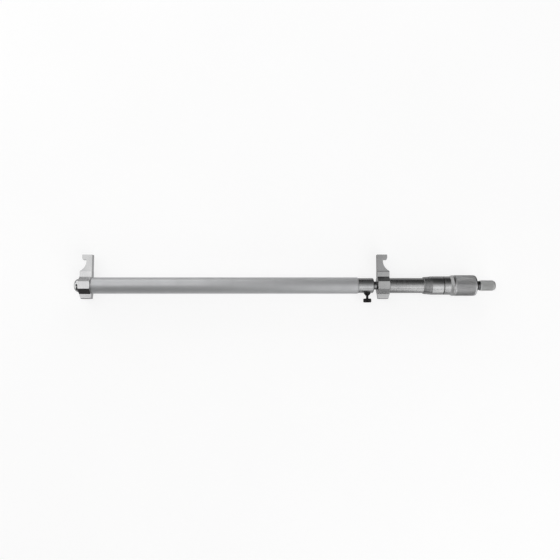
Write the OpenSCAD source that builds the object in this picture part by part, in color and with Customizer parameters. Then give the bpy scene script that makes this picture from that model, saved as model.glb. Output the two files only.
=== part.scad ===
// Jaw-type inside micrometer: a long tubular beam with a fixed jaw at its far end,
// and a micrometer head that carries the second jaw and slides out of the beam.
// The instrument lies on its side: X runs along the axis towards the ratchet,
// the jaws point to +Y and Z is up. All sizes are in millimetres.

/* [Measuring range] */
// Distance over the two measuring faces with the head closed
size_min = 275; // [200:25:300]
// Travel of the micrometer screw
travel = 25; // [20:1:25]

/* [Beam] */
// Outside diameter of the beam tube
tube_d = 14.7; // [14:0.1:15]
// Bore of the beam tube
tube_bore = 10.4; // [10.4:0.1:11]
// Outside diameter of the guide collar
collar_d = 13.5; // [12.8:0.1:14]
// Diameter of the sliding quill
quill_d = 7.4; // [7:0.1:7.6]

/* [Jaws] */
// Width across the flats of the octagonal jaw barrel
jaw_af = 15.7; // [14.8:0.1:16]
// Height of the jaw tips above the axis
jaw_top = 27.8; // [25:0.1:32]
// Depth of the foot below the axis
jaw_foot = 12.1; // [11:0.1:13]
// Thickness of the jaw blade
blade_t = 5.4; // [4:0.1:5.6]
// Thickness of the plate that carries the blade
plate_t = 6.2; // [6:0.1:7]
// Radius of the measuring faces
face_r = 12; // [8:0.5:20]

/* [Micrometer head] */
// Outside diameter of the graduated sleeve
sleeve_d = 13.6; // [13.2:0.1:13.7]
// Diameter of the plain part of the thimble
thimble_d = 16.6; // [16.2:0.1:17.2]
// Diameter over the knurled grip of the thimble
grip_d = 18.6; // [17.8:0.1:20]
// Diameter of the ratchet knob
ratchet_d = 9.4; // [9:0.1:10]

/* [Clamp] */
// Diameter of the clamp screw's knurled head
clamp_knob_d = 7.2; // [6:0.1:9]
// Reach of the clamp screw below the axis
clamp_reach = 15.2; // [14.5:0.1:16]

/* [Hidden] */
$fn = 96;

XR = size_min;            // x of the right measuring face, the left face is x = 0
jaw_w = 10.9;             // width of the jaw plate along the axis
nib_u = 9.4;              // measuring face to the blade's inner edge
jaw_in_l = nib_u;         // inner edge of the left jaw
jaw_in_r = XR - nib_u;    // inner edge of the right jaw
jaw_out = jaw_w - nib_u;  // how far the barrel passes the measuring face
cap_r = 6.1;              // radius of the end cap
x_left = -6.4;            // left end of the instrument
x_right = XR + 96.4;      // right end of the instrument
sx = -(x_left + x_right) / 2;
sy = -(jaw_top - clamp_reach) / 2;
sz = grip_d / 2;
tube_r = tube_d / 2;
tube_b = tube_bore / 2;
quill_r = quill_d / 2;
sleeve_r = sleeve_d / 2;
clamp_x = XR - 18.3;       // axis of the clamp screw
key_x = XR - 18;          // axis of the guide key
teeth = 12;               // ratchet teeth
fit = 0.02;               // radial room of a fixed fit
run = 0.05;               // radial room of a running fit

steel = "#c4c7c9";
satin = "#a9adb0";
bright = "#d6d8da";
blued = "#1c1a1d";
bronze = "#a8834f";

// the instrument's own coordinates: axis on X, left measuring face at x = 0
module place() { translate([sx, sy, sz]) children(); }

// solid of revolution about the X axis from points [radius, x]
module revolve(pts) { rotate([0, 90, 0]) rotate_extrude() polygon(pts); }

// plain round bar along X
module rod(r, x0, x1) { translate([x0, 0, 0]) rotate([0, 90, 0]) cylinder(r = r, h = x1 - x0); }

// prism along X with n sides, one flat facing up
module prism(n, af, x0, x1)
  translate([x0, 0, 0]) rotate([0, 90, 0]) rotate([0, 0, 180 / n])
    linear_extrude(x1 - x0) circle(r = af / 2 / cos(180 / n), $fn = n);

// ------------------------------------------------------------------ jaws
// outline of plate and blade, u from the inner edge outwards, v along the jaw
module blade_outline() {
  difference() {
    union() {
      // the measuring face is a short land below the tip's broken corner, relieved downwards
      polygon([[0, 6], [nib_u, 6], [nib_u - 0.9, jaw_top - 4.6], [nib_u, jaw_top - 2.2],
               [nib_u, jaw_top - 0.3], [nib_u - 0.3, jaw_top], [0, jaw_top]]);
      translate([0, 6]) square([jaw_w, 10]);
    }
    // relief behind the measuring tip
    intersection() {
      translate([15.2, jaw_top - 5.7]) circle(r = 10);
      translate([3, 0]) square([20, jaw_top - 4.6]);
    }
  }
}

module plate_outline() {
  polygon([[0, jaw_top - 14.7], [jaw_w, jaw_top - 14.7], [jaw_w, -7.6],
           [jaw_w - 1.35, -jaw_foot + 0.3], [jaw_w - 1.65, -jaw_foot],
           [0.75, -jaw_foot], [0.45, -jaw_foot + 0.3], [0, -7.6]]);
}

// side section of plate and foot, z against v, with a sloped step up from the blade
module plate_section() {
  h = plate_t / 2;
  b = blade_t / 2 - 0.2;
  polygon([[jaw_top - 14.7, -b], [jaw_top - 14.7, b], [jaw_top - 15.4, h], [-7.6, h],
           [-jaw_foot + 0.4, h - 0.15], [-jaw_foot, h - 0.55],
           [-jaw_foot, -h + 0.55], [-jaw_foot + 0.4, -h + 0.15],
           [-7.6, -h], [jaw_top - 15.4, -h]]);
}

// one jaw without its barrel, inner edge at x = 0 and tip towards +x
module jaw_plate() {
  // blade with rounded measuring face
  intersection() {
    translate([0, 0, -blade_t / 2]) linear_extrude(blade_t) blade_outline();
    union() {
      translate([nib_u - face_r, 0, 0]) rotate([-90, 0, 0]) cylinder(r = face_r, h = jaw_top + 1);
      translate([-1, 0, -blade_t]) cube([jaw_w + 2, jaw_top - 9, 2 * blade_t]);
    }
  }
  // plate and foot
  intersection() {
    translate([0, 0, -plate_t]) linear_extrude(2 * plate_t) plate_outline();
    translate([-1, 0, 0]) rotate([90, 0, 90]) linear_extrude(jaw_w + 2) plate_section();
  }
}

// octagonal barrel with chamfered ends
module barrel(x0, x1, c0, c1) {
  r = jaw_af / 2 / cos(22.5) + 0.1;
  intersection() {
    prism(8, jaw_af, x0, x1);
    revolve([[0, x0], [r - 1.6 * c0, x0], [r, x0 + c0], [r, x1 - c1], [r - 1.6 * c1, x1], [0, x1]]);
  }
}

module left_jaw() color(bright) place()
  difference() {
    union() {
      barrel(-jaw_out, jaw_in_l, 0.4, 0.7);
      translate([jaw_in_l, 0, 0]) mirror([1, 0, 0]) jaw_plate();
    }
    rod(4, -jaw_out - 1, jaw_in_l + 1);
  }

module right_jaw() color(bright) place()
  difference() {
    union() {
      barrel(jaw_in_r, XR + jaw_out, 0.5, 0.7);
      translate([jaw_in_r, 0, 0]) jaw_plate();
    }
    rod(quill_r + fit, jaw_in_r - 1, XR);
    rod(5, XR - 5, XR + 3);
  }

// ------------------------------------------------------------------ beam
// domed cap screw with a cross hole for a tommy bar
module end_cap() color(bright) place()
  difference() {
    union() {
      translate([x_left, 0, 0]) rotate([0, 90, 0]) rotate_extrude()
        intersection() {
          union() {
            translate([cap_r - 3.9, 3.9]) circle(r = 3.9);
            square([cap_r - 3.9, 8]);
            translate([0, 3.9]) square([cap_r, 4]);
          }
          square([cap_r + 1, -x_left - jaw_out - 0.05]);
        }
      rod(2, -jaw_out - 0.5, 7.5);
    }
    translate([-3.05, 0, -10]) cylinder(r = 0.75, h = 20);
  }

module end_plug() color(steel) place()
  revolve([[2 + fit, -jaw_out + 0.3], [3.7, -jaw_out + 0.3], [4 - fit, -jaw_out + 0.6], [4 - fit, jaw_in_l + 0.05],
           [tube_b - fit, jaw_in_l + 0.05], [tube_b - fit, 23.6], [tube_b - 0.4, 24], [0, 24],
           [0, 9.5], [2 + fit, 8.5]]);

module beam_tube() color(satin) place()
  revolve([[tube_b, jaw_in_l + 0.05], [tube_r - 0.4, jaw_in_l + 0.05], [tube_r, jaw_in_l + 0.45],
           [tube_r, XR - 27.2], [tube_r - 0.5, XR - 26.7], [tube_b, XR - 26.7]]);

module guide_collar() color(steel) place()
  difference() {
    revolve([[quill_r + run, XR - 50], [tube_b - fit, XR - 50], [tube_b - fit, XR - 26.65],
             [collar_d / 2 - 0.2, XR - 26.65], [collar_d / 2, XR - 26.45], [collar_d / 2, XR - 13.5],
             [collar_d / 2 - 0.35, XR - 13], [4.2, XR - 12.3], [quill_r + run, XR - 12.3]]);
    // cross hole of the clamp, with a spot face for its bush
    translate([clamp_x, 0, 0]) rotate([90, 0, 0]) cylinder(r = 2.2, h = 10);
    translate([clamp_x, -5.9, 0]) rotate([90, 0, 0]) cylinder(r = 3.2, h = 4);
    // hole of the guide key
    translate([key_x, 0, -10]) cylinder(r = 1, h = 10);
  }

module guide_key() color(steel) place()
  translate([key_x, 0, 0]) rotate([180, 0, 0]) translate([0, 0, quill_r - 0.6]) cylinder(r = 0.98, h = 3.5);

module thrust_bush() color(bronze) place()
  revolve([[1.86, XR - 85], [tube_b - 0.4, XR - 85], [tube_b - fit, XR - 84.6], [tube_b - fit, XR - 75.4],
           [tube_b - 0.4, XR - 75], [1.86, XR - 75]]);

// ------------------------------------------------------------------ head
module quill() color(bright) place()
  difference() {
    revolve([[2.6, XR - 72], [quill_r - 0.4, XR - 72], [quill_r, XR - 71.6], [quill_r, XR - 4.95],
             [4.95, XR - 4.95], [4.95, XR - 3.5], [2.6, XR - 3.5]]);
    // keyway along the back
    translate([key_x - travel - 2, -1.04, -quill_r - 1]) cube([travel + 4, 2.08, 1.75]);
  }

module inner_sleeve() color(steel) place()
  difference() {
    revolve([[3.3, XR - 3.48], [4.97, XR - 3.48], [4.97, XR + jaw_out + 0.02], [5.47, XR + jaw_out + 0.02],
             [5.47, XR + 50.2], [5.2, XR + 50.5], [3.16, XR + 50.5], [3.16, XR + 36], [3.3, XR + 35.8]]);
    // three slots that let the nut end close in
    for (a = [0:120:240]) rotate([a, 0, 0]) translate([XR + 40, -0.3, 0]) cube([12, 0.6, 8]);
  }

module outer_sleeve() color(satin) place()
  revolve([[5.5, XR + jaw_out + 0.05], [sleeve_r - 0.15, XR + jaw_out + 0.05], [sleeve_r, XR + jaw_out + 0.2], [sleeve_r, XR + 42.9],
           [sleeve_r - 0.3, XR + 43.2], [5.5, XR + 43.2]]);

module adjusting_nut() color(steel) place()
  difference() {
    revolve([[5.5, XR + 43.5], [6.3, XR + 43.5], [6.5, XR + 43.7], [6.5, XR + 49.2], [6.3, XR + 49.5], [5.5, XR + 49.5]]);
    // spanner slots
    for (a = [0:90:270]) rotate([a, 0, 0]) translate([XR + 47.8, -0.6, 5.9]) cube([3, 1.2, 2]);
  }

// ------------------------------------------------------------------ spindle and thimble
module spindle() color(bright) place()
  difference() {
    revolve([[0, XR - 92], [1.5, XR - 92], [1.8, XR - 91.6], [1.8, XR - 74.5], [2.5, XR - 74.5],
             [2.5, XR + 33.6], [3.1, XR + 34], [3.1, XR + 76.2], [2.6, XR + 80.3], [0, XR + 80.3]]);
    rod(1.25, XR + 68.9, XR + 82);
  }

module thrust_washer() color(bronze) place()
  revolve([[1.86, XR - 74.98], [3.4, XR - 74.98], [3.4, XR - 74.52], [1.86, XR - 74.52]]);

module spindle_lock_nut() color(steel) place()
  difference() {
    prism(6, 7, XR - 89, XR - 85.05);
    rod(1.82, XR - 90, XR - 84);
  }

module thimble() color(satin) place()
  revolve([[sleeve_r + 0.15, XR + 31.9], [thimble_d / 2 - 0.85, XR + 31.9], [thimble_d / 2 - 0.7, XR + 32.05],
           [thimble_d / 2 - 0.12, XR + 38.4], [thimble_d / 2, XR + 39],
           // turned groove
           [thimble_d / 2, XR + 48.9], [thimble_d / 2 - 0.6, XR + 49.2], [thimble_d / 2 - 0.6, XR + 49.55],
           [thimble_d / 2, XR + 49.85],
           // conical shoulder, narrow ring and groove before the grip
           [thimble_d / 2, XR + 55.4], [grip_d / 2, XR + 57.9], [grip_d / 2, XR + 58.4],
           [grip_d / 2 - 0.3, XR + 58.6], [grip_d / 2 - 0.3, XR + 58.9], [grip_d / 2, XR + 59.1],
           [grip_d / 2, XR + 78], [grip_d / 2 - 0.35, XR + 78.4], [grip_d / 2 - 1.6, XR + 79.05],
           [4.6, XR + 80.5],
           // taper seat on the spindle, then the bore
           [2.6, XR + 80.5], [3.12, XR + 76.22], [4.4, XR + 76.2], [sleeve_r + 0.15, XR + 76]]);

// ------------------------------------------------------------------ ratchet
// radial saw teeth about X, pointing back along -x from the plane x
module saw(x, w, h)
  for (i = [0:teeth - 1]) rotate([i * 360 / teeth, 0, 0])
    translate([x, 0, 1.6]) linear_extrude(2.2) polygon([[0.1, -w / 2], [0.1, w / 2], [0, w / 2], [-h, w / 2], [0, -w / 2]]);

module ratchet_hub() color(steel) place()
  difference() {
    revolve([[1.56, XR + 80.55], [3, XR + 80.55], [3, XR + 82.5], [1.56, XR + 82.5]]);
    saw(XR + 82.5, 0.8, 0.55);
  }

module ratchet_pawl() color(steel) place()
  intersection() {
    union() {
      difference() {
        prism(6, 6.2, XR + 82.58, XR + 84.3);
        rod(1.8, XR + 81.9, XR + 84.9);
      }
      intersection() {
        translate([0.08, 0, 0]) saw(XR + 82.5, 0.66, 0.42);
        revolve([[1.8, XR + 81.9], [2.95, XR + 81.9], [2.95, XR + 82.62], [1.8, XR + 82.62]]);
      }
    }
    rod(3.5, XR + 80.9, XR + 84.9);
  }

module ratchet_screw() color(blued) place()
  difference() {
    revolve([[0, XR + 70.4], [0.9, XR + 70.4], [1.22, XR + 70.8], [1.22, XR + 80.4], [1.5, XR + 80.4], [1.5, XR + 93.62],
             [2.75, XR + 93.62], [2.75, XR + 95], [2.45, XR + 95.3], [0, XR + 95.3]]);
    translate([XR + 94.6, -0.4, -4]) cube([2, 0.8, 8]);
  }

module ratchet_knob() color(satin) place()
  difference() {
    r = ratchet_d / 2;
    // plain neck, then the knurled body with a rounded end
    revolve([[0, XR + 80.9], [3.85, XR + 80.9], [4.05, XR + 81.1], [4.05, XR + 82.8], [r - 0.2, XR + 82.8], [r, XR + 83],
             [r, XR + 89], [r - 0.08, XR + 93.8], [r - 0.3, XR + 95], [r - 0.9, XR + 96.1], [r - 1.2, XR + 96.4], [0, XR + 96.4]]);
    prism(6, 6.3, XR + 80, XR + 90.6);
    rod(1.62, XR + 80, XR + 98);
    rod(2.9, XR + 93.5, XR + 98);
  }

// coil of round wire along X, swept ring by ring
module ratchet_spring() color("#8d9094") place() {
  n = 6; per = 16; sides = 6;
  mean = 2.4; wire = 0.28; x0 = XR + 84.65; x1 = XR + 90.3;
  steps = n * per;
  pts = [for (i = [0:steps]) let (a = 360 * i / per, xc = x0 + (x1 - x0) * i / steps)
         for (k = [0:sides - 1]) let (b = 360 * k / sides)
         [xc + wire * sin(b), (mean + wire * cos(b)) * cos(a), (mean + wire * cos(b)) * sin(a)]];
  faces = concat(
    [for (i = [0:steps - 1]) for (k = [0:sides - 1]) let (k2 = (k + 1) % sides)
       [i * sides + k, (i + 1) * sides + k, (i + 1) * sides + k2, i * sides + k2]],
    [[for (k = [0:sides - 1]) k]],
    [[for (k = [sides - 1:-1:0]) steps * sides + k]]);
  polyhedron(points = pts, faces = faces);
}

// ------------------------------------------------------------------ clamp
module clamp_bush() color(blued) place()
  translate([clamp_x, 0, 0]) rotate([90, 0, 0]) rotate_extrude()
    polygon([[1.15, 5.3], [2.2 - fit, 5.3], [2.2 - fit, 5.92], [3, 5.92], [3, 7.2], [1.6, 9], [1.15, 9]]);

module clamp_shoe() color(bronze) place()
  translate([clamp_x, 0, 0]) difference() {
    rotate([90, 0, 0]) translate([0, 0, 3]) cylinder(r = 2.1, h = 1.7);
    translate([-clamp_x, 0, 0]) rod(quill_r + 0.03, clamp_x - 5, clamp_x + 5);
  }

module clamp_screw() color(blued) place()
  translate([clamp_x, 0, 0]) rotate([90, 0, 0]) {
    k = clamp_knob_d / 2;
    rotate_extrude()
      polygon([[0, 4.75], [0.8, 4.75], [1.1, 5.05], [1.1, 11.2], [1.4, 11.7], [k - 0.4, 11.8], [k, 12.2],
               [k, clamp_reach - 0.5], [k - 0.5, clamp_reach], [0, clamp_reach]]);
  }

left_jaw();
end_cap();
end_plug();
beam_tube();
guide_collar();
guide_key();
clamp_bush();
thrust_bush();
right_jaw();
quill();
inner_sleeve();
outer_sleeve();
adjusting_nut();
spindle();
thrust_washer();
spindle_lock_nut();
thimble();
ratchet_hub();
ratchet_screw();
ratchet_knob();
ratchet_pawl();
ratchet_spring();
clamp_shoe();
clamp_screw();
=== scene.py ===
import math

import bmesh
import bpy
import numpy as np
from mathutils import Matrix, Vector


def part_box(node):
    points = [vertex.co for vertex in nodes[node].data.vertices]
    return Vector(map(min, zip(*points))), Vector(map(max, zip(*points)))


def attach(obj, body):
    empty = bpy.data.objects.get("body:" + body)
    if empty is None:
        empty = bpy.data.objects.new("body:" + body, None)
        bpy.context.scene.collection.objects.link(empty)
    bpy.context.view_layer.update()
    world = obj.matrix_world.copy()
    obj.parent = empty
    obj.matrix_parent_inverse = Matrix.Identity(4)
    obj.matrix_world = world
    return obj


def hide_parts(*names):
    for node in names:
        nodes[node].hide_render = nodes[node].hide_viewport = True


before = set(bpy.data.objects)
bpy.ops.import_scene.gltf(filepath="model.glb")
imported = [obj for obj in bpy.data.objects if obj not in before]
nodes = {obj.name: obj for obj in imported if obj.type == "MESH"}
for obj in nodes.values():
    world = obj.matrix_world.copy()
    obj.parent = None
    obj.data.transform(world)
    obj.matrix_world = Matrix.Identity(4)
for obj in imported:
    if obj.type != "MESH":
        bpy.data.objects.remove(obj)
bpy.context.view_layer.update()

scene = bpy.context.scene

# ------------------------------------------------------------------ places
# Gauge coordinates, in mm: x = 0 is the left measuring face, the axis of the
# tube and the head is y = z = 0. O is that origin in the row frame.
MM = 0.001
_lo, _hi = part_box("beam_tube")
O = np.array([_lo.x - 9.45 * MM, (_lo.y + _hi.y) / 2, (_lo.z + _hi.z) / 2])
XR = 275.0
CLAMP_X = 256.7
INDEX = math.radians(-12)      # where the index line lies on the sleeve


def on_x(a, r, p):
    """Point of a body turned round the gauge axis: a along the axis, p from +Z towards +Y."""
    return np.stack([a, r * np.sin(p), r * np.cos(p)], -1)


def on_clamp(a, r, p):
    """The same round the clamp's axis, a being the gauge y."""
    return np.stack([CLAMP_X + r * np.sin(p), a, r * np.cos(p)], -1)


def to_row(points):
    return np.asarray(points, float).reshape(-1, 3) * MM + O


# ------------------------------------------------------------------ meshes
def make(name, verts, faces, flat=(), sharp=35):
    me = bpy.data.meshes.new(name)
    me.from_pydata([tuple(v) for v in verts], [], faces)
    bm = bmesh.new()
    bm.from_mesh(me)
    bmesh.ops.recalc_face_normals(bm, faces=bm.faces)
    bm.to_mesh(me)
    bm.free()
    smooth = np.ones(len(me.polygons), bool)
    if len(flat):
        smooth[np.asarray(flat)] = False
    me.polygons.foreach_set("use_smooth", smooth)
    me.set_sharp_from_angle(angle=math.radians(sharp))
    me.update()
    ob = bpy.data.objects.new(name, me)
    scene.collection.objects.link(ob)
    return ob


def rounded(profile, size, seg=4):
    """A closed profile [(a, r)] with each corner rounded by size mm, less where its edges are short."""
    pts = [np.array(p, float) for p in profile]
    out = []
    for i, p in enumerate(pts):
        a, b = pts[i - 1] - p, pts[(i + 1) % len(pts)] - p
        la, lb = np.linalg.norm(a), np.linalg.norm(b)
        a, b = a / la, b / lb
        ang = math.acos(max(-1.0, min(1.0, float(a @ b))))
        if ang > math.radians(172):
            out.append(tuple(p))
            continue
        t = min(size / math.tan(ang / 2), 0.42 * la, 0.42 * lb)
        rad = t * math.tan(ang / 2)
        mid = (a + b) / np.linalg.norm(a + b)
        c = p + mid * (rad / math.sin(ang / 2))
        v0, v1 = p + a * t - c, p + b * t - c
        turn = math.pi - ang
        s = 1 if v0[0] * v1[1] - v0[1] * v1[0] > 0 else -1
        for k in range(seg + 1):
            w = s * turn * k / seg
            out.append((c[0] + v0[0] * math.cos(w) - v0[1] * math.sin(w),
                        c[1] + v0[0] * math.sin(w) + v0[1] * math.cos(w)))
    return out


def turned(name, rows, n, at=on_x, knurl=(), sharp=35):
    """A closed ring-shaped body of revolution. rows are (a, r), r one radius or n of them.
    knurl = (first row, last row): cells between them split along the knurl's own creases."""
    m = len(rows)
    a = np.array([row[0] for row in rows])
    r = np.array([np.broadcast_to(np.asarray(row[1], float), (n,)) for row in rows])
    p = np.arange(n) * 2 * math.pi / n
    verts = to_row(at(np.repeat(a[:, None], n, 1), r, np.repeat(p[None, :], m, 0)))
    faces, flat = [], []
    for i in range(m):
        k = (i + 1) % m
        cut = bool(knurl) and knurl[0] <= i < knurl[1]
        for j in range(n):
            l = (j + 1) % n
            q = (i * n + j, i * n + l, k * n + l, k * n + j)
            if not cut:
                faces.append(q)
                continue
            flat += [len(faces), len(faces) + 1]
            if (i - knurl[0] + j) % 2 == 0:
                faces += [(q[0], q[1], q[2]), (q[0], q[2], q[3])]
            else:
                faces += [(q[0], q[1], q[3]), (q[1], q[2], q[3])]
    return make(name, verts, faces, flat, sharp)


def wave(t):
    return 1 - np.abs(2 * (t % 1.0) - 1)


def diamond_rows(x0, x1, steps, top, depth, n):
    """Rows of a diamond knurl: pyramids between two sets of crossing grooves, run out at both ends."""
    rows = []
    j = np.arange(n)
    for i in range(steps + 1):
        h = np.minimum(wave((j + i) / 4.0), wave((j - i) / 4.0))
        h = np.minimum(h, 0.86) / 0.86
        end = min(1.0, i / 3.0, (steps - i) / 3.0)
        rows.append((x0 + (x1 - x0) * i / steps, top - depth + depth * h * end))
    return rows


# the long tube
beam_tube = turned("beam_tube_satin", rounded(
    [(9.45, 5.7), (9.45, 6.95), (9.85, 7.35), (247.9, 7.35), (248.3, 6.95), (248.3, 5.7), (247.8, 5.2), (9.95, 5.2)],
    0.12), 256)
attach(beam_tube, "beam")
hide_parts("beam_tube")

# the graduated sleeve
outer_sleeve = turned("outer_sleeve_satin", rounded(
    [(276.55, 5.5), (276.55, 6.6), (276.75, 6.8), (318.0, 6.8), (318.2, 6.6), (318.2, 5.5)], 0.06), 256)
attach(outer_sleeve, "head")
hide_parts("outer_sleeve")

# the thimble: bevel, turned groove, shoulder, ring and groove, diamond-knurled grip
N_TH = 288
outline = rounded([(XR + 31.9, 6.95), (XR + 31.9, 7.45), (XR + 32.05, 7.6), (XR + 38.4, 8.18), (XR + 39.0, 8.3),
                   (XR + 48.9, 8.3), (XR + 49.2, 7.7), (XR + 49.55, 7.7), (XR + 49.85, 8.3), (XR + 55.4, 8.3),
                   (XR + 57.9, 9.3), (XR + 58.4, 9.3), (XR + 58.6, 9.0), (XR + 59.1, 9.02), (XR + 78.0, 9.04),
                   (XR + 78.4, 8.92), (XR + 79.05, 7.7), (XR + 80.5, 4.6), (XR + 80.5, 2.6), (XR + 76.22, 3.12),
                   (XR + 76.2, 4.4), (XR + 76.0, 6.95)], 0.1, 3)
cut = max(k for k, q in enumerate(outline) if q[0] < XR + 59.12 and q[1] > 8.9) + 1
KNURL = 56
grip = diamond_rows(XR + 59.15, XR + 77.95, KNURL, 9.3, 0.26, N_TH)
thimble = turned("thimble_knurled", outline[:cut] + grip + outline[cut:], N_TH, knurl=(cut, cut + KNURL))
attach(thimble, "thimble")
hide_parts("thimble")

# the ratchet knob: plain neck, diamond-knurled body, hexagonal bore for the pawl
N_RK = 168


def hexagon(flats):
    p = np.arange(N_RK) * 2 * math.pi / N_RK
    return (flats / 2) / np.cos((p + math.pi / 6) % (math.pi / 3) - math.pi / 6)


neck = rounded([(XR + 83.0, 3.7), (XR + 80.9, 3.7), (XR + 80.9, 3.85), (XR + 81.1, 4.05), (XR + 82.8, 4.05), (XR + 82.8, 4.42),
                (XR + 83.05, 4.5), (XR + 85.0, 4.5)], 0.05, 3)
neck = [p for p in neck if p[1] > 3.75 and p[0] < XR + 83.06]
KNOB = 40
body = diamond_rows(XR + 83.1, XR + 94.9, KNOB, 4.7, 0.2, N_RK)
end = rounded([(XR + 93.8, 4.49), (XR + 95.0, 4.4), (XR + 96.05, 3.83), (XR + 96.4, 3.45), (XR + 96.4, 2.9), (XR + 93.5, 2.9),
               (XR + 93.5, 1.62), (XR + 90.6, 1.62), (XR + 90.6, 3.15), (XR + 89.0, 3.15)], 0.08, 3)
end = [p for p in end if p[0] > XR + 94.95 or p[1] < 3.0]
bore = [(XR + 90.6, hexagon(6.3)), (XR + 80.9, hexagon(6.3))]
ratchet_knob = turned("ratchet_knob_knurled", neck + body + end + bore, N_RK, knurl=(len(neck), len(neck) + KNOB))
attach(ratchet_knob, "ratchet")
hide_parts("ratchet_knob")

pack_box = {n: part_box(n) for n in nodes}

# ------------------------------------------------------------------ clamp screw
N_CS = 180


def solid_of_rows(name, rows, n, at, flat_rows=()):
    """A body of revolution closed on its axis at both ends."""
    m = len(rows)
    a = np.array([row[0] for row in rows])
    r = np.array([np.broadcast_to(np.asarray(row[1], float), (n,)) for row in rows])
    p = np.arange(n) * 2 * math.pi / n
    verts = to_row(at(np.repeat(a[:, None], n, 1), r, np.repeat(p[None, :], m, 0)))
    caps = to_row(at(a[[0, -1]], np.zeros(2), np.zeros(2)))
    verts = np.concatenate([verts, caps])
    faces, flat = [], []
    for i in range(m - 1):
        for j in range(n):
            l = (j + 1) % n
            if i in flat_rows:
                flat.append(len(faces))
            faces.append((i * n + j, i * n + l, (i + 1) * n + l, (i + 1) * n + j))
    for j in range(n):
        l = (j + 1) % n
        faces.append((m * n, j, l))
        faces.append((m * n + 1, (m - 1) * n + j, (m - 1) * n + l))
    return make(name, verts, faces, flat)


teeth = np.clip(1.35 * wave(np.arange(N_CS) * 36 / N_CS), 0, 1)
lo_c, hi_c = pack_box["clamp_screw"]
y_top, y_bot = (hi_c.y - O[1]) / MM, (lo_c.y - O[1]) / MM
clamp_rows = [(y_top, 0.9), (y_top - 0.2, 1.1), (-11.8, 1.1), (-11.8, 3.05), (-11.84, 3.16), (-11.95, 3.25 + 0.05 * teeth),
              (-12.25, 3.3 + 0.3 * teeth), (y_bot + 0.45, 3.3 + 0.3 * teeth), (y_bot + 0.15, 3.25 + 0.05 * teeth),
              (y_bot + 0.04, 3.16), (y_bot, 3.0)]
clamp_screw = solid_of_rows("clamp_screw_knurled", clamp_rows, N_CS, on_clamp, flat_rows=(5, 6, 7))
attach(clamp_screw, "clamp_screw")
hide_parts("clamp_screw")


# ------------------------------------------------------------------ jaws
def ground_copy(name, node, body, width):
    """The CAD shape of a jaw with its sharp edges broken, as a stoned and ground part has them."""
    bm = bmesh.new()
    bm.from_mesh(nodes[node].data)
    bmesh.ops.remove_doubles(bm, verts=bm.verts, dist=2e-6)
    bmesh.ops.dissolve_limit(bm, angle_limit=math.radians(0.6), verts=bm.verts, edges=bm.edges)
    edges = [e for e in bm.edges if len(e.link_faces) == 2 and e.calc_face_angle(0) > math.radians(24)]
    bmesh.ops.bevel(bm, geom=edges, offset=width * MM, offset_type="OFFSET", segments=2, profile=0.6,
                    affect="EDGES", clamp_overlap=True, loop_slide=True)
    bmesh.ops.recalc_face_normals(bm, faces=bm.faces)
    me = bpy.data.meshes.new(name)
    bm.to_mesh(me)
    bm.free()
    for layer in [a.name for a in me.attributes if a.name == "custom_normal"]:
        me.attributes.remove(me.attributes[layer])
    me.polygons.foreach_set("use_smooth", np.ones(len(me.polygons), bool))
    me.set_sharp_from_angle(angle=math.radians(40))
    ob = bpy.data.objects.new(name, me)
    scene.collection.objects.link(ob)
    w = ob.modifiers.new("even", "WEIGHTED_NORMAL")
    w.keep_sharp = True
    w.weight = 90
    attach(ob, body)
    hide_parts(node)
    return ob


left_jaw = ground_copy("left_jaw_ground", "left_jaw", "beam", 0.14)
right_jaw = ground_copy("right_jaw_ground", "right_jaw", "head", 0.14)


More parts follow.
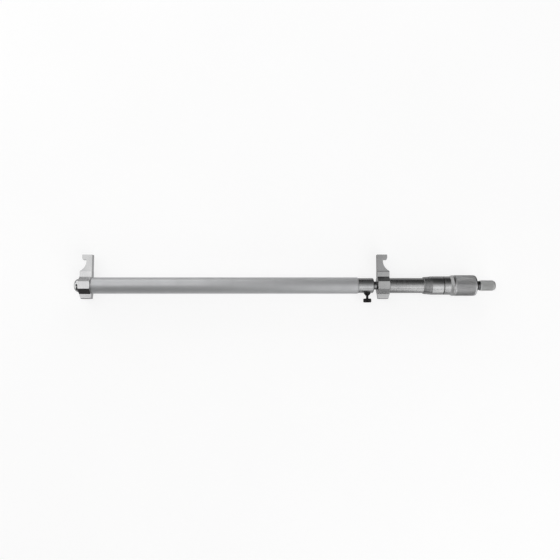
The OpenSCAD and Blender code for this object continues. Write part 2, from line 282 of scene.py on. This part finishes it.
# ------------------------------------------------------------------ graduations
class Marks:
    """Filled engraved lines and figures, each a thin closed body let into a turned surface."""

    def __init__(self, radius):
        self.radius, self.verts, self.faces = radius, [], []

    def line(self, x0, x1, p0, p1, cells=1, proud=0.012, sunk=0.03):
        base = len(self.verts)
        for k in range(cells + 1):
            p = p0 + (p1 - p0) * k / cells
            for x in (x0, x1):
                for d in (-sunk, proud):
                    self.verts.append(on_x(np.array(x), np.array(self.radius(x) + d), np.array(p)))
        for k in range(cells):
            b, c = base + 4 * k, base + 4 * k + 4
            self.faces += [(b, b + 1, c + 1, c), (b + 2, c + 2, c + 3, b + 3), (b + 1, b + 3, c + 3, c + 1), (b, c, c + 2, b + 2)]
        self.faces += [(base, base + 2, base + 3, base + 1)]
        e = base + 4 * cells
        self.faces += [(e, e + 1, e + 3, e + 2)]

    def figure(self, text, size, x, p, proud=0.012, sunk=0.03):
        cu = bpy.data.curves.new("figure", "FONT")
        cu.body, cu.size, cu.align_x, cu.align_y = text, size, "CENTER", "CENTER"
        cu.extrude, cu.resolution_u = 0.5, 3
        tmp = bpy.data.objects.new("figure", cu)
        scene.collection.objects.link(tmp)
        bpy.context.view_layer.update()
        me = bpy.data.meshes.new_from_object(tmp.evaluated_get(bpy.context.evaluated_depsgraph_get()))
        bm = bmesh.new()
        bm.from_mesh(me)
        bmesh.ops.remove_doubles(bm, verts=bm.verts, dist=1e-5)
        ys = [v.co.y for v in bm.verts]
        mid, half = (min(ys) + max(ys)) / 2, (max(ys) - min(ys)) / 2
        for k in range(-7, 8):
            bmesh.ops.bisect_plane(bm, geom=bm.verts[:] + bm.edges[:] + bm.faces[:], dist=1e-6,
                                   plane_co=(0, mid + half * k / 8.0, 0), plane_no=(0, 1, 0))
        bmesh.ops.triangulate(bm, faces=bm.faces)
        base = len(self.verts)
        bm.verts.ensure_lookup_table()
        for v in bm.verts:
            xx = x + v.co.x
            r = self.radius(xx)
            self.verts.append(on_x(np.array(xx), np.array(r + (proud if v.co.z > 0 else -sunk)), np.array(p + (v.co.y - mid) / r)))
        for f in bm.faces:
            self.faces.append(tuple(base + v.index for v in f.verts))
        bm.free()
        bpy.data.objects.remove(tmp)
        bpy.data.curves.remove(cu)
        bpy.data.meshes.remove(me)

    def done(self, name, body):
        me = bpy.data.meshes.new(name)
        me.from_pydata([tuple(v) for v in to_row(np.array(self.verts))], [], self.faces)
        bm = bmesh.new()
        bm.from_mesh(me)
        bmesh.ops.recalc_face_normals(bm, faces=bm.faces)
        bm.to_mesh(me)
        bm.free()
        ob = bpy.data.objects.new(name, me)
        scene.collection.objects.link(ob)
        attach(ob, body)
        return ob


SLEEVE_R = 6.8
ZERO = XR + 31.9
sleeve = Marks(lambda x: SLEEVE_R)
w = 0.065 / SLEEVE_R
sleeve.line(ZERO - 27.0, ZERO + 1.5, INDEX - w, INDEX + w, 2)
for k in range(26):
    x = ZERO - k
    tall = 3.1 if k % 5 == 0 else 2.0
    sleeve.line(x - 0.045, x + 0.045, INDEX + 0.35 / SLEEVE_R, INDEX + (0.35 + tall) / SLEEVE_R, 8)
    if k < 25:
        sleeve.line(x - 0.545, x - 0.455, INDEX - 2.0 / SLEEVE_R, INDEX - 0.35 / SLEEVE_R, 6)
    if k % 5 == 0:
        sleeve.figure(str(k), 1.8, x, INDEX + 4.75 / SLEEVE_R)
sleeve_scale = sleeve.done("sleeve_scale", "head")

bevel = Marks(lambda x: 7.6 + 0.58 * (x - XR - 32.05) / 6.35)
for k in range(50):
    p = INDEX - math.radians(7.2 * k)
    tall = 2.5 if k % 5 == 0 else 1.6
    bevel.line(XR + 32.15, XR + 32.15 + tall, p - 0.045 / 7.7, p + 0.045 / 7.7, 1)
    if k % 5 == 0:
        bevel.figure(str(k), 1.6, XR + 36.2, p)
thimble_scale = bevel.done("thimble_scale", "thimble")


# ------------------------------------------------------------------ materials
def new_material(name):
    m = bpy.data.materials.new(name)
    m.use_nodes = True
    t = m.node_tree
    t.nodes.clear()
    out = t.nodes.new("ShaderNodeOutputMaterial")
    b = t.nodes.new("ShaderNodeBsdfPrincipled")
    t.links.new(b.outputs["BSDF"], out.inputs["Surface"])
    return m, t, b


def coords(t, scale):
    tc = t.nodes.new("ShaderNodeTexCoord")
    mp = t.nodes.new("ShaderNodeMapping")
    mp.inputs["Scale"].default_value = scale
    t.links.new(tc.outputs["Object"], mp.inputs["Vector"])
    return mp.outputs["Vector"]


def noise(t, scale, detail=3.0, rough=0.55):
    n = t.nodes.new("ShaderNodeTexNoise")
    n.inputs["Scale"].default_value = 1.0
    n.inputs["Detail"].default_value = detail
    n.inputs["Roughness"].default_value = rough
    t.links.new(coords(t, scale), n.inputs["Vector"])
    return n.outputs["Fac"]


def remap(t, value, a, b, c, d):
    n = t.nodes.new("ShaderNodeMapRange")
    for k, v in zip(("From Min", "From Max", "To Min", "To Max"), (a, b, c, d)):
        n.inputs[k].default_value = v
    t.links.new(value, n.inputs["Value"])
    return n.outputs["Result"]


def math2(t, op, a, b):
    n = t.nodes.new("ShaderNodeMath")
    n.operation = op
    for k, v in enumerate((a, b)):
        if isinstance(v, (int, float)):
            n.inputs[k].default_value = v
        else:
            t.links.new(v, n.inputs[k])
    return n.outputs[0]


def blend(t, factor, a, b):
    n = t.nodes.new("ShaderNodeMix")
    n.data_type = "RGBA"
    t.links.new(factor, n.inputs[0])
    for k, v in ((6, a), (7, b)):
        if isinstance(v, tuple):
            n.inputs[k].default_value = (*v, 1.0)
        else:
            t.links.new(v, n.inputs[k])
    return n.outputs[2]


def edge_mask(t, radius, lo, hi):
    """1 on worn convex edges, 0 on open faces."""
    bv = t.nodes.new("ShaderNodeBevel")
    bv.samples = 6
    bv.inputs["Radius"].default_value = radius
    ge = t.nodes.new("ShaderNodeNewGeometry")
    dot = t.nodes.new("ShaderNodeVectorMath")
    dot.operation = "DOT_PRODUCT"
    t.links.new(bv.outputs["Normal"], dot.inputs[0])
    t.links.new(ge.outputs["Normal"], dot.inputs[1])
    return remap(t, dot.outputs["Value"], hi, lo, 0.0, 1.0)


def metal(name, light, dark, rough, grain, bump, blotch=70.0, edge=None, grain_mix=0.35, metallic=1.0, wear=None, bore=None):
    """Metal with a directional tool or brush grain, faint handling blotches and worn edges.
    grain = noise scale per axis (1/m), bump = height of the grain (m),
    bore = x, y and radius (m) of a drilled hole along Z: inside that radius of its axis the colour is painted shade,
    near-black and rougher, standing in for the hole's dark inside."""
    m, t, b = new_material(name)
    g = noise(t, grain, 4.0, 0.62)
    s = noise(t, (blotch, blotch, blotch), 4.0, 0.6)
    fine = noise(t, (2600.0, 2600.0, 2600.0), 2.0, 0.5)
    mix = math2(t, "ADD", math2(t, "MULTIPLY", g, grain_mix), math2(t, "MULTIPLY", s, 1 - grain_mix))
    colour = blend(t, remap(t, mix, 0.33, 0.67, 0.0, 1.0), dark, light)
    r = remap(t, mix, 0.3, 0.7, rough[1], rough[0])
    if edge:
        e = edge_mask(t, edge[0], edge[1], edge[2])
        e = math2(t, "MULTIPLY", e, remap(t, noise(t, (420.0, 420.0, 420.0), 3.0, 0.6), 0.35, 0.6, 0.15, 1.0))
        colour = blend(t, e, colour, wear)
        r = math2(t, "ADD", r, math2(t, "MULTIPLY", e, edge[3]))
    # painted shade: within the bore's radius the surface is coloured near-black
    if bore:
        tc = t.nodes.new("ShaderNodeTexCoord")
        xyz = t.nodes.new("ShaderNodeSeparateXYZ")
        t.links.new(tc.outputs["Object"], xyz.inputs[0])
        dx, dy = (math2(t, "SUBTRACT", xyz.outputs[k], bore[k]) for k in (0, 1))
        d = math2(t, "POWER", math2(t, "ADD", math2(t, "MULTIPLY", dx, dx), math2(t, "MULTIPLY", dy, dy)), 0.5)
        k = remap(t, d, bore[2], bore[2] + 0.0001, 1.0, 0.0)
        colour = blend(t, k, colour, (0.02, 0.02, 0.02))
        r = math2(t, "ADD", r, math2(t, "MULTIPLY", k, 0.5))
    t.links.new(colour, b.inputs["Base Color"])
    t.links.new(r, b.inputs["Roughness"])
    b.inputs["Metallic"].default_value = metallic
    bp = t.nodes.new("ShaderNodeBump")
    bp.inputs["Strength"].default_value = 1.0
    bp.inputs["Distance"].default_value = bump
    h = math2(t, "ADD", math2(t, "MULTIPLY", g, 0.8), math2(t, "MULTIPLY", fine, 0.2))
    t.links.new(h, bp.inputs["Height"])
    t.links.new(bp.outputs["Normal"], b.inputs["Normal"])
    return m


satin_tube = metal("satin_tube", (0.655, 0.66, 0.67), (0.595, 0.60, 0.61), (0.38, 0.46), (90.0, 2600.0, 2600.0), 3.5e-6,
                   edge=(0.0004, 0.80, 0.99, 0.02), wear=(0.70, 0.70, 0.70), metallic=0.56)
satin_chrome = metal("satin_chrome", (0.53, 0.53, 0.53), (0.47, 0.47, 0.475), (0.24, 0.31), (2400.0, 90.0, 90.0), 2e-6,
                     edge=(0.0002, 0.80, 0.99, 0.03), wear=(0.62, 0.62, 0.62))
ground_steel = metal("ground_steel", (0.60, 0.60, 0.60), (0.53, 0.53, 0.535), (0.13, 0.22), (2600.0, 140.0, 2600.0), 1.5e-6,
                     edge=(0.0003, 0.75, 0.99, 0.06), wear=(0.68, 0.68, 0.68))
# the end cap's steel, with painted shade near-black inside its drilled hole
cap_steel = metal("cap_steel", (0.72, 0.72, 0.72), (0.65, 0.65, 0.655), (0.16, 0.24), (2600.0, 140.0, 140.0), 1.5e-6,
                  edge=(0.0003, 0.75, 0.99, 0.06), wear=(0.74, 0.74, 0.74), bore=(-0.18555, -0.0063, 0.00086))
knurled_chrome = metal("knurled_chrome", (0.70, 0.70, 0.705), (0.61, 0.61, 0.615), (0.27, 0.37), (900.0, 900.0, 900.0), 2e-6,
                       edge=(0.00012, 0.60, 0.97, 0.02), wear=(0.80, 0.80, 0.80))
knurled_pale = metal("knurled_pale", (0.68, 0.685, 0.68), (0.60, 0.605, 0.60), (0.34, 0.44), (900.0, 900.0, 900.0), 2e-6,
                     edge=(0.00012, 0.60, 0.97, 0.02), wear=(0.80, 0.80, 0.80), metallic=0.65)
# the thimble's turned groove: a dark metal that is painted shade in the recess
groove_shade_metal = metal("groove_painted_shade", (0.31, 0.305, 0.30), (0.20, 0.198, 0.195), (0.18, 0.30), (900.0, 900.0, 900.0), 2e-6,
              edge=(0.0002, 0.75, 0.99, 0.0), wear=(0.34, 0.34, 0.34))
# near-black steel that is painted shade: it darkens the ratchet's neck between the thimble and the knob, and the right
# jaw's barrel end that faces the collar
painted_shade_steel = metal("painted_shade_steel", (0.15, 0.15, 0.155), (0.10, 0.10, 0.105), (0.10, 0.18), (2600.0, 120.0, 120.0), 1.5e-6,
                    edge=(0.0002, 0.75, 0.99, 0.05), wear=(0.30, 0.30, 0.30))
ground_blade = metal("ground_blade", (0.54, 0.54, 0.54), (0.47, 0.47, 0.475), (0.17, 0.26), (140.0, 2600.0, 2600.0), 1.5e-6,
                     edge=(0.0003, 0.75, 0.99, 0.06), wear=(0.66, 0.66, 0.66))
quill_steel = metal("quill_steel", (0.29, 0.29, 0.29), (0.22, 0.22, 0.225), (0.12, 0.2), (2600.0, 120.0, 120.0), 1.5e-6,
                    edge=(0.0003, 0.75, 0.99, 0.06), wear=(0.50, 0.50, 0.50))
satin_shoulder = metal("satin_shoulder", (0.62, 0.62, 0.62), (0.55, 0.55, 0.555), (0.50, 0.58), (2400.0, 90.0, 90.0), 2e-6,
                       edge=(0.0002, 0.80, 0.99, 0.03), wear=(0.66, 0.66, 0.66), metallic=0.72)
turned_steel = metal("turned_steel", (0.58, 0.585, 0.59), (0.50, 0.505, 0.51), (0.22, 0.32), (2800.0, 120.0, 120.0), 2e-6,
                     edge=(0.0002, 0.75, 0.99, 0.05), wear=(0.62, 0.62, 0.62))
blackened = metal("blackened_steel", (0.022, 0.021, 0.022), (0.010, 0.010, 0.011), (0.34, 0.5), (700.0, 700.0, 700.0), 3e-6,
                  edge=(0.0003, 0.70, 0.98, 0.0), wear=(0.16, 0.155, 0.15), metallic=0.6)
bronze = metal("bronze", (0.55, 0.38, 0.20), (0.42, 0.27, 0.13), (0.30, 0.42), (1800.0, 160.0, 160.0), 2e-6,
               edge=(0.0003, 0.75, 0.99, 0.0), wear=(0.66, 0.50, 0.30))


def ink_material():
    m, t, b = new_material("graduation_fill")
    s = noise(t, (5000.0, 5000.0, 5000.0), 3.0, 0.6)
    t.links.new(blend(t, remap(t, s, 0.3, 0.7, 0.0, 1.0), (0.006, 0.006, 0.007), (0.03, 0.03, 0.032)), b.inputs["Base Color"])
    t.links.new(remap(t, s, 0.3, 0.7, 0.45, 0.7), b.inputs["Roughness"])
    return m


ink = ink_material()

for ob, mat in ((beam_tube, satin_tube), (outer_sleeve, satin_chrome), (thimble, satin_chrome), (ratchet_knob, turned_steel),
                (clamp_screw, blackened), (left_jaw, ground_steel), (right_jaw, ground_steel), (sleeve_scale, ink), (thimble_scale, ink)):
    ob.data.materials.clear()
    ob.data.materials.append(mat)


def refinish(ob, mat, where):
    """Give the faces whose middle lies where(u) = true, u in gauge mm, another finish."""
    k = len(ob.data.materials)
    ob.data.materials.append(mat)
    for f in ob.data.polygons:
        if where((np.array(f.center) - O) / MM, f):
            f.material_index = k


refinish(thimble, knurled_chrome, lambda u, f: XR + 59.13 < u[0] < XR + 77.97 and math.hypot(u[1], u[2]) > 8.9)
refinish(thimble, satin_shoulder, lambda u, f: XR + 55.3 < u[0] < XR + 58.0 and math.hypot(u[1], u[2]) > 8.2)
# painted shade: the turned groove of the thimble is coloured dark
refinish(thimble, groove_shade_metal, lambda u, f: XR + 48.98 < u[0] < XR + 49.77 and math.hypot(u[1], u[2]) > 7.5)
refinish(ratchet_knob, knurled_pale, lambda u, f: u[0] > XR + 83.0)
# painted shade on the neck between the thimble's end and the knob
refinish(ratchet_knob, painted_shade_steel, lambda u, f: u[0] < XR + 82.79)
for ob in (left_jaw, right_jaw):
    refinish(ob, ground_blade, lambda u, f: u[1] > 12.7)
# painted shade on the barrel's end face in the gap next to the collar
refinish(right_jaw, painted_shade_steel, lambda u, f: u[0] < XR - 9.2 and f.normal.x < -0.8 and math.hypot(u[1], u[2]) < 8.0)

finish_of = {
    "end_cap": cap_steel, "end_plug": turned_steel, "guide_collar": turned_steel, "guide_key": ground_steel,
    "clamp_bush": blackened, "thrust_bush": bronze, "quill": quill_steel, "inner_sleeve": turned_steel,
    "adjusting_nut": turned_steel, "spindle": ground_steel, "thrust_washer": bronze, "spindle_lock_nut": blackened,
    "ratchet_hub": ground_steel, "ratchet_screw": turned_steel, "ratchet_pawl": ground_steel, "ratchet_spring": turned_steel,
    "clamp_shoe": bronze,
}
for n, mat in finish_of.items():
    o = nodes[n]
    for s in o.material_slots:
        s.link = "DATA"
        s.material = mat
    if not o.material_slots:
        o.data.materials.append(mat)

# ------------------------------------------------------------------ floor, light, camera
fm = bpy.data.meshes.new("floor")
fm.from_pydata([(-4, -4, -0.0001), (4, -4, -0.0001), (4, 4, -0.0001), (-4, 4, -0.0001)], [], [(0, 1, 2, 3)])
floor = bpy.data.objects.new("floor", fm)
scene.collection.objects.link(floor)
m, t, b = new_material("pale_floor")
s = noise(t, (9.0, 9.0, 9.0), 2.0, 0.5)
t.links.new(blend(t, s, (0.30, 0.30, 0.30), (0.33, 0.33, 0.33)), b.inputs["Base Color"])
b.inputs["Roughness"].default_value = 0.9
b.inputs["Specular IOR Level"].default_value = 0.1
b.inputs["Emission Color"].default_value = (1.0, 1.0, 1.0, 1.0)   # a light table, which keeps shadows faint
b.inputs["Emission Strength"].default_value = 0.77
floor.visible_glossy = False
fm.materials.append(m)


# a pale cove behind the floor, only for the eye: what the metal mirrors is the light set up below
cove_rows = [(0.95, 0.0), (1.35, 0.004), (1.75, 0.05), (2.1, 0.17), (2.4, 0.42), (2.6, 0.8), (2.7, 1.4), (2.55, 2.2), (1.9, 3.0), (0.9, 3.4), (0.02, 3.5)]
turns = np.linspace(0, 2 * math.pi, 96, endpoint=False)
cv = [(r * math.cos(p), r * math.sin(p), z) for r, z in cove_rows for p in turns]
cf = [(96 * i + j, 96 * i + (j + 1) % 96, 96 * i + 96 + (j + 1) % 96, 96 * i + 96 + j) for i in range(len(cove_rows) - 1) for j in range(96)]
cm = bpy.data.meshes.new("cove")
cm.from_pydata(cv, [], cf)
cove = bpy.data.objects.new("cove", cm)
scene.collection.objects.link(cove)
m, t, b = new_material("pale_cove")
s = noise(t, (3.0, 3.0, 3.0), 2.0, 0.5)
t.links.new(blend(t, s, (0.02, 0.02, 0.02), (0.03, 0.03, 0.03)), b.inputs["Base Color"])
b.inputs["Roughness"].default_value = 0.9
b.inputs["Specular IOR Level"].default_value = 0.0
b.inputs["Emission Color"].default_value = (1.0, 1.0, 1.0, 1.0)
b.inputs["Emission Strength"].default_value = 0.95
cm.materials.append(m)
for ray in ("visible_glossy", "visible_diffuse", "visible_transmission", "visible_volume_scatter", "visible_shadow"):
    setattr(cove, ray, False)


def softbox(name, at, to, sx, sy, radiance):
    d = bpy.data.lights.new(name, "AREA")
    d.shape, d.size, d.size_y = "RECTANGLE", sx, sy
    d.energy = radiance * math.pi * sx * sy
    o = bpy.data.objects.new(name, d)
    o.location = at
    o.rotation_mode = "QUATERNION"
    o.rotation_quaternion = (Vector(to) - Vector(at)).to_track_quat("-Z", "Y")
    o.visible_camera = False
    scene.collection.objects.link(o)
    return o


softbox("soft_over_left", (-0.80, 0.42, 1.0), (-0.80, 0.42, 0.0), 1.2, 1.0, 1.0)
softbox("soft_over_end", (-1.15, -0.33, 1.0), (-1.15, -0.33, 0.0), 0.5, 0.44, 0.9)
softbox("soft_wall_left", (-0.70, 1.0, 0.452), (-0.70, 0.0, 0.452), 1.2, 0.996, 1.1)
softbox("soft_end_left", (-1.35, -0.05, 0.25), (0.0, -0.05, 0.25), 1.5, 1.0, 1.0)
softbox("soft_strip_right", (0.77, 0.09, 0.97), (0.77, 0.09, 0.0), 1.16, 0.22, 0.40)
softbox("soft_strip_low", (0.77, -0.16, 0.97), (0.77, -0.16, 0.0), 1.16, 0.28, 0.66)
softbox("soft_over_right", (0.80, -0.75, 0.95), (0.80, -0.75, 0.0), 1.3, 0.9, 1.2)
softbox("soft_wall_mid", (0.275, -1.30, 0.52), (0.275, 0.0, 0.52), 0.25, 0.76, 0.95)
softbox("soft_wall_right", (0.915, -1.30, 0.30), (0.915, 0.0, 0.30), 1.03, 1.2, 1.1)
for name, at, power in (("soft_fill_up", (0.35, 1.0, 0.28), 3.4), ("soft_fill_low", (0.48, -1.0, 0.28), 2.2)):
    o = softbox(name, at, (0.08, 0.0, 0.0), 0.7, 0.4, power)
    o.visible_glossy = False

world = bpy.data.worlds.new("studio")
scene.world = world
world.use_nodes = True
wt = world.node_tree
bg = wt.nodes["Background"]
tc = wt.nodes.new("ShaderNodeTexCoord")
sep = wt.nodes.new("ShaderNodeSeparateXYZ")
wt.links.new(tc.outputs["Generated"], sep.inputs[0])
half = wt.nodes.new("ShaderNodeMapRange")
half.inputs["From Min"].default_value = -1.0
wt.links.new(sep.outputs["Z"], half.inputs["Value"])
ramp = wt.nodes.new("ShaderNodeValToRGB")
for k, v in ((0.0, 0.50), (0.30, 0.42), (0.45, 0.12), (0.50, 0.05), (0.65, 0.04), (0.86, 0.08), (1.0, 0.32)):
    e = ramp.color_ramp.elements[0] if k == 0 else ramp.color_ramp.elements[-1] if k == 1 else ramp.color_ramp.elements.new(k)
    e.color = (v, v, v, 1.0)
wt.links.new(half.outputs["Result"], ramp.inputs["Fac"])
wt.links.new(ramp.outputs["Color"], bg.inputs["Color"])

scene.view_settings.view_transform = "Standard"
scene.view_settings.look = "None"
scene.view_settings.exposure = 0.0
scene.view_settings.gamma = 1.0

cam = bpy.data.cameras.new("camera")
cam.lens, cam.sensor_width, cam.sensor_fit = 37.09, 36.0, "AUTO"
cam.clip_start = 0.01
cam_ob = bpy.data.objects.new("camera", cam)
# the photograph looks down from a little below the axis
LOOK, DIST, TILT = Vector((-0.00422, -0.0013, 0.0093)), 0.520, math.radians(4.5)
cam_ob.location = LOOK + DIST * Vector((0.0, -math.sin(TILT), math.cos(TILT)))
cam_ob.rotation_euler = (TILT, 0.0, 0.0)
scene.collection.objects.link(cam_ob)
scene.camera = cam_ob
